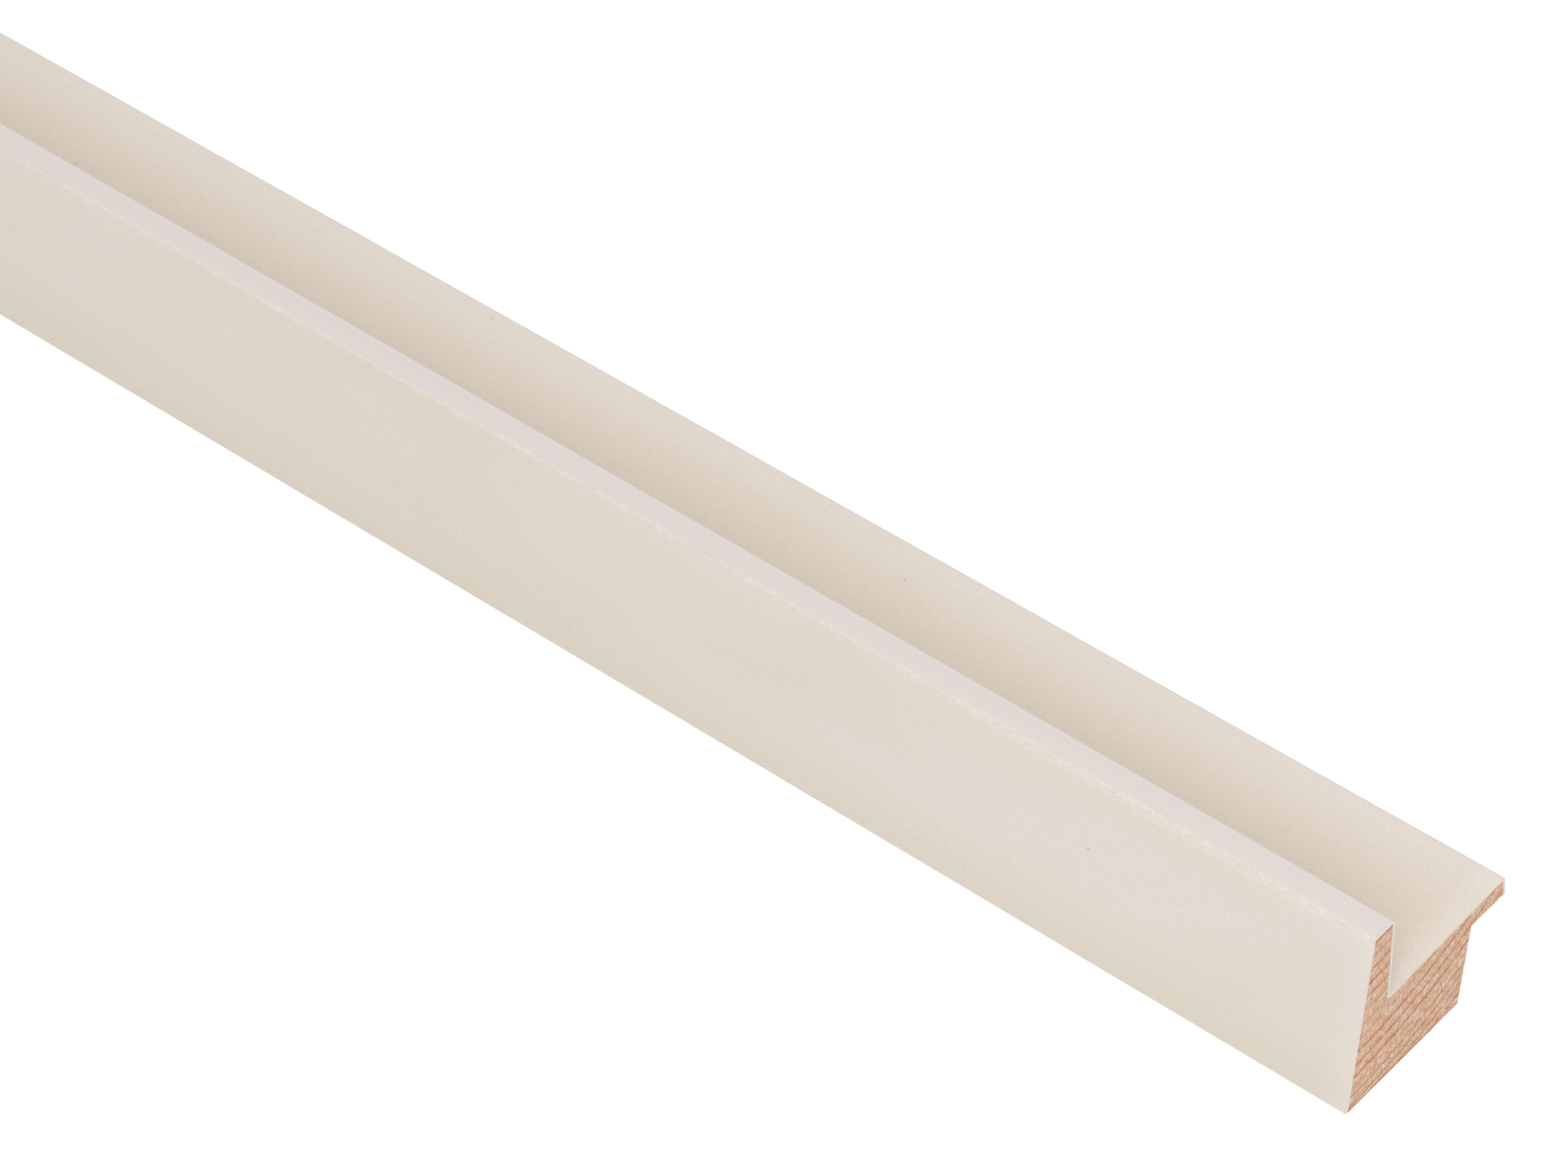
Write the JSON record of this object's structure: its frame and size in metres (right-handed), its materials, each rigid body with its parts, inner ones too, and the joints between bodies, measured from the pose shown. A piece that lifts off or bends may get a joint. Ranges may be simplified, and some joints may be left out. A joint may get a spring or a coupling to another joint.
{
  "type": "picture frame moulding",
  "caption": "Straight stick of deep picture frame moulding: raised outer wall, sloping front channel and a rebate under the lip, square-sawn ends.",
  "frame": {"origin": "middle of the stick's box, on its flat back, which lies on the floor", "axes": "+X along the stick, +Z from the flat back towards the front of the frame, -Y towards the outer face and +Y towards the sight edge"},
  "size_m": [1, 0.0262, 0.025],
  "materials": {
    "bare_pine": "bare, sawn at the ends and planed along the back and the rebate",
    "white_coat": "warm white paint over gesso, matt to low sheen, with a fine stipple"
  },
  "bodies": {
    "root": {"timber_stick": "bare_pine", "paint_coat": "white_coat"}
  },
  "joints": []
}
